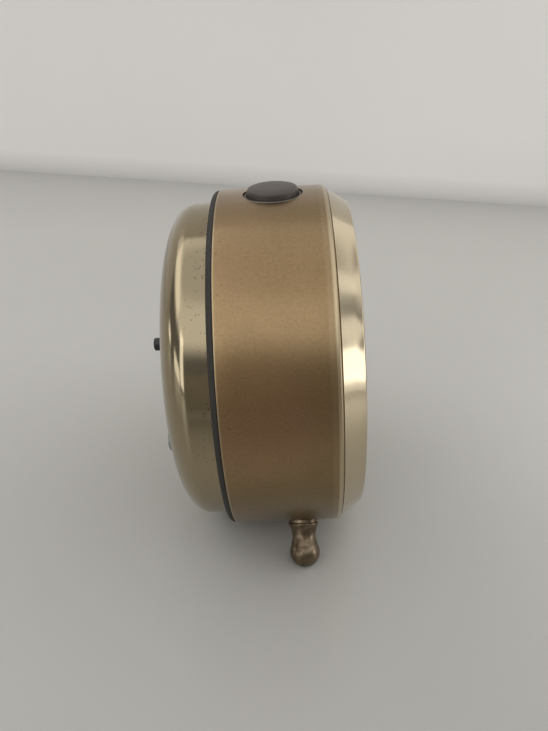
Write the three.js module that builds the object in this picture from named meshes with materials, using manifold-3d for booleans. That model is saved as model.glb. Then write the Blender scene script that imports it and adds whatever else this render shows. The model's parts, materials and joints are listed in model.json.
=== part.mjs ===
// Wind-up minute timer in a round brass case: a drum closed by a glazed bezel in front and a domed
// cover behind, leaning back on two ball feet and the drum's rear edge. Millimetres, +Z up.
//
// Every piece is drawn in the case's own axes: x to the right seen from the front, y up the dial,
// z forward out of the dial, with z = 0 at the drum's rear edge. The last lines lean the case back
// and stand it on the ground plane, with its front towards -Y.

import * as THREE from 'three';
import { mergeVertices } from 'three/addons/utils/BufferGeometryUtils.js';
import Module from 'manifold-3d';

const wasm = await Module();
wasm.setup();

const FULL_TURN = 2 * Math.PI;
const FINE = 48; // facets round the case
const INNER = 32; // facets round the rings and plates inside it
const MEDIUM = 24; // facets round middling pieces
const COARSE = 8; // facets round arbors and screws
const HOLE = 6; // facets round pivot holes
const GAP = 0.3; // clearance between neighbouring pieces
const LEAN = THREE.MathUtils.degToRad(5.34);

// Case
const CASE_R = 38;
const CASE_WALL = 0.8;
const DRUM_FRONT = 22.8;
const DRUM_ROLL = 0.7;
const DRUM_MOUTH_R = 35.5;
const GASKET_R = 37.3;
const GASKET_BACK = -1.25;
const GASKET_LEG = 2.2;
const COVER_R = 35.5;
const COVER_WALL = 0.7;
const COVER_SIDE_END = -5.4;
const COVER_FLAT_R = 24.3;
const COVER_BACK = -11.8;
const BEZEL_BACK = 23.1;
const BEZEL_BACK_R = 37.2;
const BEZEL_FRONT = 27.4;
const BEZEL_EDGE = 27;
const BEZEL_EDGE_R = 34.4;
const BEZEL_LIP_R = 33.9;
const SPIGOT_BACK = 17.9;
const SPIGOT_R = 35.1;
const SEAT_R = 33.5;
const SIGHT_R = 32.2;
const GLASS_BACK = 24.6;
const GLASS_FRONT = 25.8;
const DIAL_BACK = 17.9;
const DIAL_FRONT = 18.5;
const MOUNTING_RING_R = 34;

// Ball feet
const FOOT_SPREAD = THREE.MathUtils.degToRad(37.2);
const FOOT_Z = 14.7;
const FOOT_BALL_R = 3.37;
const FOOT_BALL_CENTRE = 45.2;
const FOOT_COLLAR_R = 3.44;
const FOOT_COLLAR_LENGTH = 1.15;
const FOOT_WAIST_R = 2.64;
const FOOT_STUD_R = 1.5;

// Stop button
const BUTTON_Z = 11.56;
const BUTTON_R = 5.3;
const BUTTON_TOP = 39.6;
const BUTTON_HOLE_R = 6.2;
const BUTTON_UNDERSIDE = 34.9;
const BUTTON_STEM_R = 1.2;
const BUTTON_STEM_END = 23.5;
const GUIDE_R = 6;
const GUIDE_FLOOR = 31;
const GUIDE_TOP = 36.3;

// Movement: the plates, and where each axis crosses them
const PLATE_R = 27.2;
const BACK_PLATE = [1.6, 2.8];
const FRONT_PLATE = [14.6, 15.8];
const PIVOT_R = 0.5;
const PIVOT_HOLE_R = 0.85;
const ARBOR_R = 0.9;
const WINDING = [0, -13];
const CENTRE = [0, 0];
const GREAT_WHEEL_R = 10.5;
const SECOND_WHEEL_R = 8.4;
const THIRD_WHEEL_R = 7.2;
const WHEEL_TEETH = 36;
const PINION_TEETH = 9;
const SECOND = away(WINDING, GREAT_WHEEL_R * 1.25, 150);
const THIRD = away(SECOND, SECOND_WHEEL_R * 1.25, 88);
const ESCAPE = away(THIRD, THIRD_WHEEL_R * 1.25, 50);
const PALLET = [1.8, 12.9];
const BALANCE = [9, 8.7];
const REGULATOR_TIP = [0, 4.3];
const HAMMER = [-8, 18];
const HAMMER_HEAD = [15.5, 13.2];
const GONG = [13.5, 3.5];
const STOP_LEVER = [12, 20.5];
const TRIP_LEVER = [15, -4];
const TRIP_CAM_R = 5;
const TRIP_LEVEL = [9.5, 10.3];
const TRIP_NOSE = away(CENTRE, TRIP_CAM_R + 0.9, 52.7);
const PILLARS = [[-17, 17], [17, 17], [10.5, -21], [-10.5, -21]];
const PILLAR_R = 1.6;
const COVER_SCREWS = { left: [-20.5, -8], right: [20.5, -8] };
const MOVEMENT_SCREW_R = 25.6;
const HAND_MODULE = 0.4;
const HAND_WHEEL_TEETH = 45;
const SETTING_PINION_TEETH = 20;

// Materials
const LACQUERED_BRASS = metal('#8d7350', 0.5);
const POLISHED_BRASS = metal('#c9bd99', 0.25);
const DARK_BRASS = metal('#5d5343', 0.45);
const MOVEMENT_BRASS = metal('#b99a55', 0.4);
const STEEL = metal('#8b8d90', 0.35);
const SPRING_STEEL = metal('#4a5560', 0.4);
const RUBBER = dull('#33302a', 0.8);
const BLACK_PLASTIC = dull('#2f2a27', 0.5);
const CREAM_PAINT = dull('#e9e2cc', 0.6);
const BLACK_PAINT = dull('#1c1b1a', 0.5);
const GLASS = new THREE.MeshStandardMaterial({
  color: '#dfe6e4',
  roughness: 0.05,
  metalness: 0,
  transparent: true,
  opacity: 0.3,
});

function metal(color, roughness) {
  return new THREE.MeshStandardMaterial({ color, roughness, metalness: 1 });
}

function dull(color, roughness) {
  return new THREE.MeshStandardMaterial({ color, roughness, metalness: 0 });
}

// Geometry helpers. Profiles are [radius, z] pairs; outlines are [x, y] pairs.

function away([x, y], distance, degrees) {
  const angle = THREE.MathUtils.degToRad(degrees);
  return [x + distance * Math.cos(angle), y + distance * Math.sin(angle)];
}

function bearing([fromX, fromY], [toX, toY]) {
  return Math.atan2(toY - fromY, toX - fromX);
}

function turned(profile, facets) {
  const points = profile.map(([radius, z]) => new THREE.Vector2(radius, z));
  return new THREE.LatheGeometry(points, facets).rotateX(Math.PI / 2);
}

function turnedRing(profile, facets) {
  return turned([...profile, profile[0]], facets);
}

function ring(inner, outer, back, front, facets = INNER) {
  return turnedRing([[inner, back], [outer, back], [outer, front], [inner, front]], facets);
}

function disc(radius, back, front, facets = COARSE) {
  return turned([[0, back], [radius, back], [radius, front], [0, front]], facets);
}

function extruded(shape, back, front) {
  const options = { depth: front - back, bevelEnabled: false, curveSegments: MEDIUM };
  return new THREE.ExtrudeGeometry(shape, options).translate(0, 0, back);
}

function block(from, to, width, back, front) {
  const length = Math.hypot(to[0] - from[0], to[1] - from[1]);
  const box = new THREE.BoxGeometry(length, width, front - back);
  box.rotateZ(bearing(from, to));
  return box.translate((from[0] + to[0]) / 2, (from[1] + to[1]) / 2, (back + front) / 2);
}

function arc(centre, radii, fromDegrees, toDegrees, steps) {
  const points = [];
  for (let i = 0; i <= steps; i += 1) {
    const turn = THREE.MathUtils.degToRad(fromDegrees + ((toDegrees - fromDegrees) * i) / steps);
    points.push([centre[0] + radii[0] * Math.cos(turn), centre[1] + radii[1] * Math.sin(turn)]);
  }
  return points;
}

function toSolid(geometry) {
  const bare = geometry.clone();
  bare.deleteAttribute('normal');
  bare.deleteAttribute('uv');
  const merged = mergeVertices(bare, 1e-4);
  const mesh = new wasm.Mesh({
    numProp: 3,
    vertProperties: new Float32Array(merged.attributes.position.array),
    triVerts: new Uint32Array(merged.index.array),
  });
  mesh.merge();
  return new wasm.Manifold(mesh);
}

function toGeometry(solid) {
  const mesh = solid.getMesh();
  const geometry = new THREE.BufferGeometry();
  geometry.setAttribute('position', new THREE.BufferAttribute(mesh.vertProperties, 3));
  geometry.setIndex(new THREE.BufferAttribute(mesh.triVerts, 1));
  geometry.computeVertexNormals();
  return geometry;
}

function joined(...geometries) {
  const solids = geometries.map(toSolid);
  return toGeometry(solids.reduce((whole, piece) => whole.add(piece)));
}

function cut(geometry, ...tools) {
  const solids = tools.map(toSolid);
  return toGeometry(solids.reduce((whole, tool) => whole.subtract(tool), toSolid(geometry)));
}

function pegged(radius, [x, y], back, front, facets = HOLE) {
  return disc(radius, back, front, facets).translate(x, y, 0);
}

// A flat lever: straight lengths with rounded ends and elbows.
function strap(points, width, back, front) {
  const pieces = points.map((point) => pegged(width / 2, point, back, front, COARSE));
  for (let i = 1; i < points.length; i += 1) {
    pieces.push(block(points[i - 1], points[i], width, back, front));
  }
  return joined(...pieces);
}

// A wheel or pinion outline with narrow-tipped teeth, one of them centred on the x axis.
function toothedShape(teeth, pitchRadius) {
  const module = (2 * pitchRadius) / teeth;
  const tip = pitchRadius + 0.6 * module;
  const root = pitchRadius - 1.05 * module;
  const halfTip = (0.11 * FULL_TURN) / teeth;
  const shape = new THREE.Shape();
  for (let i = 0; i < teeth; i += 1) {
    const middle = (i * FULL_TURN) / teeth;
    const gap = middle - Math.PI / teeth;
    const place = i === 0 ? 'moveTo' : 'lineTo';
    shape[place](root * Math.cos(gap), root * Math.sin(gap));
    shape.lineTo(tip * Math.cos(middle - halfTip), tip * Math.sin(middle - halfTip));
    shape.lineTo(tip * Math.cos(middle + halfTip), tip * Math.sin(middle + halfTip));
  }
  return shape;
}

// A wheel with one-sided teeth, for a ratchet or an escape wheel.
function sawtoothShape(teeth, tip, root) {
  const shape = new THREE.Shape();
  for (let i = 0; i < teeth; i += 1) {
    const start = (i * FULL_TURN) / teeth;
    const place = i === 0 ? 'moveTo' : 'lineTo';
    shape[place](root * Math.cos(start), root * Math.sin(start));
    const crest = start + (0.8 * FULL_TURN) / teeth;
    shape.lineTo(tip * Math.cos(crest), tip * Math.sin(crest));
  }
  return shape;
}

function bored(shape, radius) {
  const hole = new THREE.Path();
  arc([0, 0], [radius, radius], 0, 360 - 360 / COARSE, COARSE - 1).forEach(([x, y], i) => {
    hole[i === 0 ? 'moveTo' : 'lineTo'](x, y);
  });
  hole.closePath();
  shape.holes.push(hole);
  return shape;
}

// A flat ribbon wound from an inner to an outer radius.
function spiral(inner, outer, turns, thickness, back, front, stepsPerTurn) {
  const steps = Math.round(turns * stepsPerTurn);
  const edge = (side) => {
    const points = [];
    for (let i = 0; i <= steps; i += 1) {
      const radius = inner + ((outer - inner) * i) / steps + side * thickness;
      const turn = (FULL_TURN * i) / stepsPerTurn;
      points.push(new THREE.Vector2(radius * Math.cos(turn), radius * Math.sin(turn)));
    }
    return points;
  };
  const outline = [...edge(0.5), ...edge(-0.5).reverse()];
  return extruded(new THREE.Shape(outline), back, front);
}

// An arbor between the plates, with a thin pivot in each plate.
function arborRod(radius = ARBOR_R) {
  const back = BACK_PLATE[1] + GAP;
  const front = FRONT_PLATE[0] - GAP;
  return turned([
    [0, BACK_PLATE[0] + 0.2],
    [PIVOT_R, BACK_PLATE[0] + 0.2],
    [PIVOT_R, back],
    [radius, back],
    [radius, front],
    [PIVOT_R, front],
    [PIVOT_R, FRONT_PLATE[1] - 0.2],
    [0, FRONT_PLATE[1] - 0.2],
  ], COARSE);
}

function pinionArbor(pitchRadius, back, front) {
  return joined(arborRod(), extruded(toothedShape(PINION_TEETH, pitchRadius), back, front));
}

function wheel(teeth, pitchRadius, boreRadius, back, front) {
  return extruded(bored(toothedShape(teeth, pitchRadius), boreRadius), back, front);
}

function cheeseScrew(headRadius, headBack, headFront, shankRadius, shankEnd) {
  return turned([
    [0, headBack],
    [headRadius, headBack],
    [headRadius, headFront],
    [shankRadius, headFront],
    [shankRadius, shankEnd],
    [0, shankEnd],
  ], COARSE);
}

// Case shell

// Turns a shape drawn along z so that it points outwards from the case's axis, at an angle
// measured from straight down, at a given distance forward.
function radial(geometry, angleFromBottom, forward) {
  geometry.rotateX(Math.PI / 2);
  geometry.rotateZ(angleFromBottom);
  return geometry.translate(0, 0, forward);
}

function caseDrum() {
  const inner = CASE_R - CASE_WALL;
  const rollCentre = [CASE_R - DRUM_ROLL, DRUM_FRONT - DRUM_ROLL];
  const shell = turnedRing([
    [inner, 0],
    [CASE_R, 0],
    ...arc(rollCentre, [DRUM_ROLL, DRUM_ROLL], 0, 90, 4),
    [DRUM_MOUTH_R, DRUM_FRONT],
    [DRUM_MOUTH_R, DRUM_FRONT - CASE_WALL],
    [inner, DRUM_FRONT - CASE_WALL],
  ], FINE);
  const buttonHole = radial(disc(BUTTON_HOLE_R, 30, 45, MEDIUM), Math.PI, BUTTON_Z);
  const studHole = (side) => {
    return radial(disc(FOOT_STUD_R + GAP, 30, 45), side * FOOT_SPREAD, FOOT_Z);
  };
  return cut(shell, buttonHole, studHole(-1), studHole(1));
}

function backGasket() {
  const legOuter = CASE_R - CASE_WALL - GAP;
  const inner = COVER_R + GAP;
  return turnedRing([
    [inner, GASKET_BACK],
    [GASKET_R, GASKET_BACK],
    [CASE_R - 0.1, -GAP],
    [legOuter, -GAP],
    [legOuter, GASKET_LEG],
    [inner, GASKET_LEG],
  ], FINE);
}

function backCover() {
  const radii = [COVER_R - COVER_FLAT_R, COVER_SIDE_END - COVER_BACK];
  const corner = (shrink) => arc(
    [COVER_FLAT_R, COVER_SIDE_END],
    [radii[0] - shrink, radii[1] - shrink],
    270,
    360,
    4,
  );
  const shell = turned([
    [0, COVER_BACK],
    ...corner(0),
    [COVER_R, GASKET_LEG],
    [COVER_R - COVER_WALL, GASKET_LEG],
    ...corner(COVER_WALL).reverse(),
    [0, COVER_BACK + COVER_WALL],
  ], FINE);
  const through = [COVER_BACK - 1, COVER_BACK + 2];
  const slotReach = Math.hypot(REGULATOR_TIP[0] - BALANCE[0], REGULATOR_TIP[1] - BALANCE[1]);
  const slotMiddle = THREE.MathUtils.radToDeg(bearing(BALANCE, REGULATOR_TIP));
  const slotPath = arc(BALANCE, [slotReach, slotReach], slotMiddle - 16, slotMiddle + 16, 2);
  const soundHoles = arc([0, 0], [16, 16], -6, 66, 4);
  return cut(
    shell,
    pegged(2.4, WINDING, ...through, COARSE),
    strap(slotPath, 2.8, ...through),
    ...Object.values(COVER_SCREWS).map((at) => pegged(1.5, at, ...through)),
    ...soundHoles.map((at) => pegged(1.1, at, ...through)),
  );
}

function bezelRing() {
  const lip = new THREE.QuadraticBezierCurve(
    new THREE.Vector2(BEZEL_EDGE_R, BEZEL_EDGE),
    new THREE.Vector2(BEZEL_EDGE_R - 0.2, BEZEL_FRONT),
    new THREE.Vector2(BEZEL_LIP_R, BEZEL_FRONT),
  );
  return turnedRing([
    [SEAT_R, SPIGOT_BACK],
    [SPIGOT_R, SPIGOT_BACK],
    [SPIGOT_R, BEZEL_BACK],
    [BEZEL_BACK_R, BEZEL_BACK],
    ...lip.getPoints(3).map(({ x, y }) => [x, y]),
    [SIGHT_R + 0.4, BEZEL_FRONT],
    [SIGHT_R, BEZEL_FRONT - 0.4],
    [SIGHT_R, GLASS_FRONT + GAP],
    [SEAT_R, GLASS_FRONT + GAP],
  ], FINE);
}

function dialDisc() {
  const face = new THREE.Shape(
    arc([0, 0], [SEAT_R - 0.6, SEAT_R - 0.6], 0, 360 - 360 / INNER, INNER - 1)
      .map(([x, y]) => new THREE.Vector2(x, y)),
  );
  return extruded(bored(face, 1.4), DIAL_BACK, DIAL_FRONT);
}

function mountingRing() {
  const plain = ring(24, MOUNTING_RING_R, FRONT_PLATE[1] + GAP, DIAL_BACK - GAP);
  const guideNotch = radial(disc(GUIDE_R + GAP, 30, 40, MEDIUM), Math.PI, BUTTON_Z);
  return cut(plain, guideNotch, ...movementScrewPlaces().map((at) => pegged(1.3, at, 10, 20)));
}

function movementScrewPlaces() {
  return [-15, 105, 225].map((degrees) => away(CENTRE, MOVEMENT_SCREW_R, degrees));
}

function ballFoot() {
  const collarBack = CASE_R + GAP;
  const studEnd = CASE_R - 3.6;
  return turned([
    [0, studEnd],
    [FOOT_STUD_R, studEnd],
    [FOOT_STUD_R, collarBack],
    [FOOT_COLLAR_R, collarBack],
    [FOOT_COLLAR_R, collarBack + FOOT_COLLAR_LENGTH],
    [FOOT_WAIST_R + 0.3, collarBack + FOOT_COLLAR_LENGTH + 1],
    [FOOT_WAIST_R, collarBack + FOOT_COLLAR_LENGTH + 2.4],
    [FOOT_WAIST_R + 0.2, FOOT_BALL_CENTRE - 2.3],
    ...arc([0, FOOT_BALL_CENTRE], [FOOT_BALL_R, FOOT_BALL_R], -24, 90, 5),
  ], 16);
}

function footNut() {
  const outer = CASE_R - CASE_WALL - 0.4;
  return ring(FOOT_STUD_R + GAP, 3.1, outer - 1.6, outer, 6);
}

// Stop button

function stopButton() {
  const edge = arc([BUTTON_R - 0.7, BUTTON_TOP - 1], [0.7, 0.75], 0, 75, 3);
  return turned([
    [0, BUTTON_STEM_END],
    [BUTTON_STEM_R, BUTTON_STEM_END],
    [BUTTON_STEM_R, BUTTON_UNDERSIDE],
    [BUTTON_R, BUTTON_UNDERSIDE],
    ...edge,
    [BUTTON_R / 2, BUTTON_TOP - 0.1],
    [0, BUTTON_TOP],
  ], MEDIUM);
}

function buttonGuide() {
  return turnedRing([
    [BUTTON_STEM_R + GAP, GUIDE_FLOOR],
    [GUIDE_R, GUIDE_FLOOR],
    [GUIDE_R, GUIDE_TOP],
    [BUTTON_R + 0.2, GUIDE_TOP],
    [BUTTON_R + 0.2, GUIDE_FLOOR + 1],
    [BUTTON_STEM_R + GAP, GUIDE_FLOOR + 1],
  ], MEDIUM);
}

function buttonSpring() {
  const wire = 0.2;
  const low = GUIDE_FLOOR + 1 + GAP + wire;
  const high = BUTTON_UNDERSIDE - GAP - wire;
  const turns = 3;
  const path = new THREE.CatmullRomCurve3(
    arc([0, 0], [3.6, 3.6], 0, 360 * turns, 8 * turns)
      .map(([x, y], i, all) => new THREE.Vector3(x, y, low + ((high - low) * i) / (all.length - 1))),
  );
  const section = new THREE.Shape(
    arc([0, 0], [wire, wire], 0, 270, 3).map(([x, y]) => new THREE.Vector2(x, y)),
  );
  return new THREE.ExtrudeGeometry(section, { extrudePath: path, steps: 10 * turns });
}

function stopLever() {
  const arm = strap([[0, 0], [-17.5, 2.4]], 1.6, 11, 12);
  return joined(arborRod(), pegged(1.9, [0, 0], 11, 12, COARSE), arm);
}

// Movement frame

function pivotPlaces() {
  return [SECOND, THIRD, ESCAPE, PALLET, BALANCE, STOP_LEVER, TRIP_LEVER];
}

function roundHole([x, y], radius, facets = HOLE) {
  const hole = new THREE.Path();
  arc([x, y], [radius, radius], 0, 360 - 360 / facets, facets - 1).forEach(([px, py], i) => {
    hole[i === 0 ? 'moveTo' : 'lineTo'](px, py);
  });
  hole.closePath();
  return hole;
}

function plateOutline() {
  return new THREE.Shape(
    arc([0, 0], [PLATE_R, PLATE_R], 0, 360 - 360 / INNER, INNER - 1)
      .map(([x, y]) => new THREE.Vector2(x, y)),
  );
}

function backPlate() {
  const outline = plateOutline();
  outline.holes.push(
    roundHole(WINDING, 2),
    roundHole(CENTRE, PIVOT_HOLE_R),
    roundHole(HAMMER, ARBOR_R + 0.4),
    ...pivotPlaces().map((at) => roundHole(at, PIVOT_HOLE_R)),
    ...PILLARS.map((at) => roundHole(at, 1.3)),
  );
  return extruded(outline, ...BACK_PLATE);
}

function frontPlate() {
  const outline = plateOutline();
  outline.holes.push(
    roundHole(WINDING, 1.2),
    roundHole(CENTRE, 1.2),
    roundHole(HAMMER, PIVOT_HOLE_R),
    ...pivotPlaces().map((at) => roundHole(at, PIVOT_HOLE_R)),
    ...PILLARS.map((at) => roundHole(at, 1.3)),
    ...movementScrewPlaces().map((at) => roundHole(at, 1.3)),
  );
  return extruded(outline, ...FRONT_PLATE);
}

function pillar() {
  const back = BACK_PLATE[1] + GAP;
  const front = FRONT_PLATE[0] - GAP;
  return turned([
    [0, BACK_PLATE[0]],
    [0.9, BACK_PLATE[0]],
    [0.9, back],
    [PILLAR_R, back],
    [PILLAR_R, front],
    [0.9, front],
    [0.9, FRONT_PLATE[1]],
    [0, FRONT_PLATE[1]],
  ], 10);
}

// Winding and setting

function windingKnob() {
  const back = COVER_BACK - 3.9;
  const front = COVER_BACK - GAP;
  return turnedRing([
    [1.9, back],
    [7.6, back],
    [9, back + 1],
    [9, front - 0.5],
    [8.5, front],
    [1.9, front],
  ], MEDIUM);
}

function windingArbor() {
  return turned([
    [0, COVER_BACK - 3.6],
    [1.6, COVER_BACK - 3.6],
    [1.6, BACK_PLATE[1] + GAP],
    [2, BACK_PLATE[1] + GAP],
    [2, FRONT_PLATE[0] - GAP],
    [0.8, FRONT_PLATE[0] - GAP],
    [0.8, FRONT_PLATE[1] - 0.2],
    [0, FRONT_PLATE[1] - 0.2],
  ], COARSE);
}

function clickPawl() {
  return strap([[6.4, -2.6], [5.5, 0.8]], 1.2, 9.5, 10.2);
}

// Hand, its wheel and the cam that trips the bell

function handArbor() {
  return turned([
    [0, BACK_PLATE[0] + 0.2],
    [PIVOT_R, BACK_PLATE[0] + 0.2],
    [PIVOT_R, BACK_PLATE[1] + GAP],
    [0.8, BACK_PLATE[1] + GAP],
    [0.8, 22.3],
    [0, 22.3],
  ], COARSE);
}

function pointerHand() {
  const needle = new THREE.Shape([
    new THREE.Vector2(-0.9, 0),
    new THREE.Vector2(-0.75, -8),
    new THREE.Vector2(0.75, -8),
    new THREE.Vector2(0.9, 0),
    new THREE.Vector2(1.2, 18),
    new THREE.Vector2(0.15, 27.5),
    new THREE.Vector2(-0.15, 27.5),
    new THREE.Vector2(-1.2, 18),
  ]);
  const blank = joined(extruded(needle, 21, 21.5), disc(2.2, 20.6, 21.9, 16));
  return cut(blank, disc(1.1, 20, 23));
}

function tripCam() {
  const towardsLever = THREE.MathUtils.radToDeg(bearing(TRIP_NOSE, TRIP_LEVER));
  const notchStart = away(CENTRE, TRIP_CAM_R + 0.1, 52.7);
  const notch = strap([notchStart, away(notchStart, 3, towardsLever)], 2.6, 9, 11);
  const blank = disc(TRIP_CAM_R, ...TRIP_LEVEL, MEDIUM);
  return cut(blank, disc(1.2, 9, 11), notch);
}

function tripLever() {
  const nose = [TRIP_NOSE[0] - TRIP_LEVER[0], TRIP_NOSE[1] - TRIP_LEVER[1]];
  const boss = pegged(1.7, [0, 0], ...TRIP_LEVEL, COARSE);
  return joined(arborRod(), boss, strap([[0, 0], nose], 1.2, ...TRIP_LEVEL));
}

// Escapement

function escapeWheel() {
  return extruded(bored(sawtoothShape(15, 5, 3.8), 1.2), 10, 10.6);
}

function palletLever() {
  const toEscape = THREE.MathUtils.radToDeg(bearing(PALLET, ESCAPE));
  const toBalance = THREE.MathUtils.radToDeg(bearing(PALLET, BALANCE));
  const pins = [toEscape - 58, toEscape + 58].map((degrees) => away([0, 0], 3.9, degrees));
  const fork = away([0, 0], 4.1, toBalance);
  return joined(
    arborRod(0.7),
    strap([pins[0], [0, 0], pins[1]], 0.9, 10, 10.8),
    strap([[0, 0], fork], 1.1, 10, 10.8),
    ...pins.map((at) => pegged(0.3, at, 9.2, 10.9)),
  );
}

function balanceWheel() {
  const toPallet = THREE.MathUtils.radToDeg(bearing(BALANCE, PALLET));
  const armEnds = [away([0, 0], 6.6, toPallet), away([0, 0], 6.6, toPallet + 180)];
  const rim = ring(6.1, 7, 11.4, 12.2, MEDIUM);
  const arm = block(...armEnds, 1.4, 11.5, 12.1);
  const hub = disc(1.6, 11.2, 12.2);
  const impulsePin = pegged(0.25, away([0, 0], 3, toPallet), 10, 11.8);
  return cut(joined(rim, arm, hub, impulsePin), disc(1, 10.8, 13));
}

function regulatorLever() {
  const tip = [REGULATOR_TIP[0] - BALANCE[0], REGULATOR_TIP[1] - BALANCE[1]];
  const blank = joined(
    pegged(2.6, [0, 0], 0.3, 1.2, 16),
    strap([[0, 0], tip], 1.6, 0.3, 1.2),
    pegged(0.8, tip, -16.5, 1.2),
  );
  return cut(blank, disc(1.3, 0, 2));
}

function regulatorTip() {
  return turned([
    [0, -17.9],
    [1.3, -17.9],
    [1.5, -17.7],
    [1.5, COVER_BACK - 0.5],
    [1.1, COVER_BACK - 0.5],
    [1.1, -16.8],
    [0, -16.8],
  ], 16);
}

// Bell

function gongCup() {
  return turnedRing([
    [1.4, -9.3],
    [6.7, -9.3],
    [7.5, -8.5],
    [7.5, -5.3],
    [6.8, -5.3],
    [6.8, -8.2],
    [6.4, -8.6],
    [1.4, -8.6],
  ], MEDIUM);
}

function threadedPost(radius, end) {
  return turned([
    [0, end + 5],
    [1.4, end + 5],
    [1.4, end],
    [radius, end],
    [radius, BACK_PLATE[0] - GAP],
    [0, BACK_PLATE[0] - GAP],
  ], COARSE);
}

function bellHammer() {
  const head = [HAMMER_HEAD[0] - HAMMER[0], HAMMER_HEAD[1] - HAMMER[1]];
  const shaft = turned([
    [0, -7.4],
    [ARBOR_R, -7.4],
    [ARBOR_R, FRONT_PLATE[0] - GAP],
    [PIVOT_R, FRONT_PLATE[0] - GAP],
    [PIVOT_R, FRONT_PLATE[1] - 0.2],
    [0, FRONT_PLATE[1] - 0.2],
  ], COARSE);
  return joined(
    shaft,
    strap([[0, 0], head], 1.2, -7.4, -6.4),
    pegged(1.6, head, -8.6, -5.2, 16),
    strap([[0, 0], [3.6, 0.4]], 1.2, 11, 12),
  );
}

function hammerSpring() {
  const coil = ring(ARBOR_R + GAP, ARBOR_R + GAP + 0.5, 4, 6, 16);
  return joined(coil, block([-1.4, 0], [-7, -0.6], 0.4, 4.6, 5));
}

// Assembly

const timer = new THREE.Group();

function add(name, geometry, material, [x, y] = CENTRE, turn = 0) {
  const mesh = new THREE.Mesh(geometry, material);
  mesh.name = name;
  mesh.position.set(x, y, 0);
  mesh.rotation.z = turn;
  timer.add(mesh);
}

// Turn of a wheel that puts a tooth on the line to its neighbour, and of a pinion that puts a gap there.
function toothTowards(from, to) {
  return bearing(from, to);
}

function gapTowards(from, to, teeth) {
  return bearing(from, to) + Math.PI / teeth;
}

function addCase() {
  add('case_drum', caseDrum(), LACQUERED_BRASS);
  add('back_gasket', backGasket(), RUBBER);
  add('back_cover', backCover(), POLISHED_BRASS);
  add('bezel', bezelRing(), POLISHED_BRASS);
  add('front_glass', disc(SEAT_R - GAP, GLASS_BACK, GLASS_FRONT, FINE), GLASS);
  add('glass_gasket', ring(31.9, SEAT_R - GAP, GLASS_BACK - GAP - 0.5, GLASS_BACK - GAP), RUBBER);
  add('rehaut_ring', ring(32.3, SEAT_R - GAP, DIAL_FRONT + GAP, GLASS_BACK - 2 * GAP - 0.5), CREAM_PAINT);
  add('dial', dialDisc(), CREAM_PAINT);
  add('mounting_ring', mountingRing(), STEEL);
  movementScrewPlaces().forEach((at, i) => {
    add(`movement_screw_${i + 1}`, cheeseScrew(1.8, 13, FRONT_PLATE[0] - GAP, 1, 17), STEEL, at);
  });
  for (const [side, sign] of [['left', -1], ['right', 1]]) {
    add(`foot_${side}`, radial(ballFoot(), sign * FOOT_SPREAD, FOOT_Z), DARK_BRASS);
    add(`foot_nut_${side}`, radial(footNut(), sign * FOOT_SPREAD, FOOT_Z), STEEL);
    const at = COVER_SCREWS[side];
    const screw = cheeseScrew(2.6, COVER_BACK - 1.3, COVER_BACK - GAP, 1.1, -6.4);
    add(`cover_post_${side}`, threadedPost(2.4, -10.8), STEEL, at);
    add(`cover_screw_${side}`, screw, STEEL, at);
  }
}

function addStopButton() {
  add('stop_button', radial(stopButton(), Math.PI, BUTTON_Z), BLACK_PLASTIC);
  add('button_guide', radial(buttonGuide(), Math.PI, BUTTON_Z), STEEL);
  add('button_spring', radial(buttonSpring(), Math.PI, BUTTON_Z), SPRING_STEEL);
  const clip = ring(BUTTON_STEM_R + 0.1, 2.6, GUIDE_FLOOR - 0.8, GUIDE_FLOOR - GAP, COARSE);
  add('button_clip', radial(clip, Math.PI, BUTTON_Z), SPRING_STEEL);
  add('stop_lever', stopLever(), STEEL, STOP_LEVER);
}

function addMovementFrame() {
  add('back_plate', backPlate(), MOVEMENT_BRASS);
  add('front_plate', frontPlate(), MOVEMENT_BRASS);
  PILLARS.forEach((at, i) => add(`pillar_${i + 1}`, pillar(), STEEL, at));
}

function addWinding() {
  const ratchet = extruded(bored(sawtoothShape(16, 4.6, 3.8), 2.3), 9.5, 10.2);
  const setting = wheel(SETTING_PINION_TEETH, (SETTING_PINION_TEETH * HAND_MODULE) / 2, 2.3, 12.5, 13.9);
  const great = wheel(WHEEL_TEETH, GREAT_WHEEL_R, 2.3, 8.4, 9.2);
  add('winding_knob', windingKnob(), BLACK_PLASTIC, WINDING);
  add('winding_arbor', windingArbor(), STEEL, WINDING);
  add('mainspring', spiral(2.7, 10.3, 4, 0.35, 3.3, 8, 16), SPRING_STEEL, WINDING);
  add('great_wheel', great, MOVEMENT_BRASS, WINDING, toothTowards(WINDING, SECOND));
  add('ratchet_wheel', ratchet, STEEL, WINDING);
  add('click', clickPawl(), STEEL, WINDING);
  add('setting_pinion', setting, STEEL, WINDING, gapTowards(WINDING, CENTRE, SETTING_PINION_TEETH));
}

function addHand() {
  const handWheel = wheel(HAND_WHEEL_TEETH, (HAND_WHEEL_TEETH * HAND_MODULE) / 2, 1.1, 12.8, 13.6);
  add('hand_arbor', handArbor(), STEEL);
  add('hand_wheel', handWheel, MOVEMENT_BRASS, CENTRE, toothTowards(CENTRE, WINDING));
  add('pointer_hand', pointerHand(), BLACK_PAINT);
  add('trip_cam', tripCam(), MOVEMENT_BRASS);
  add('trip_lever', tripLever(), STEEL, TRIP_LEVER);
}

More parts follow.
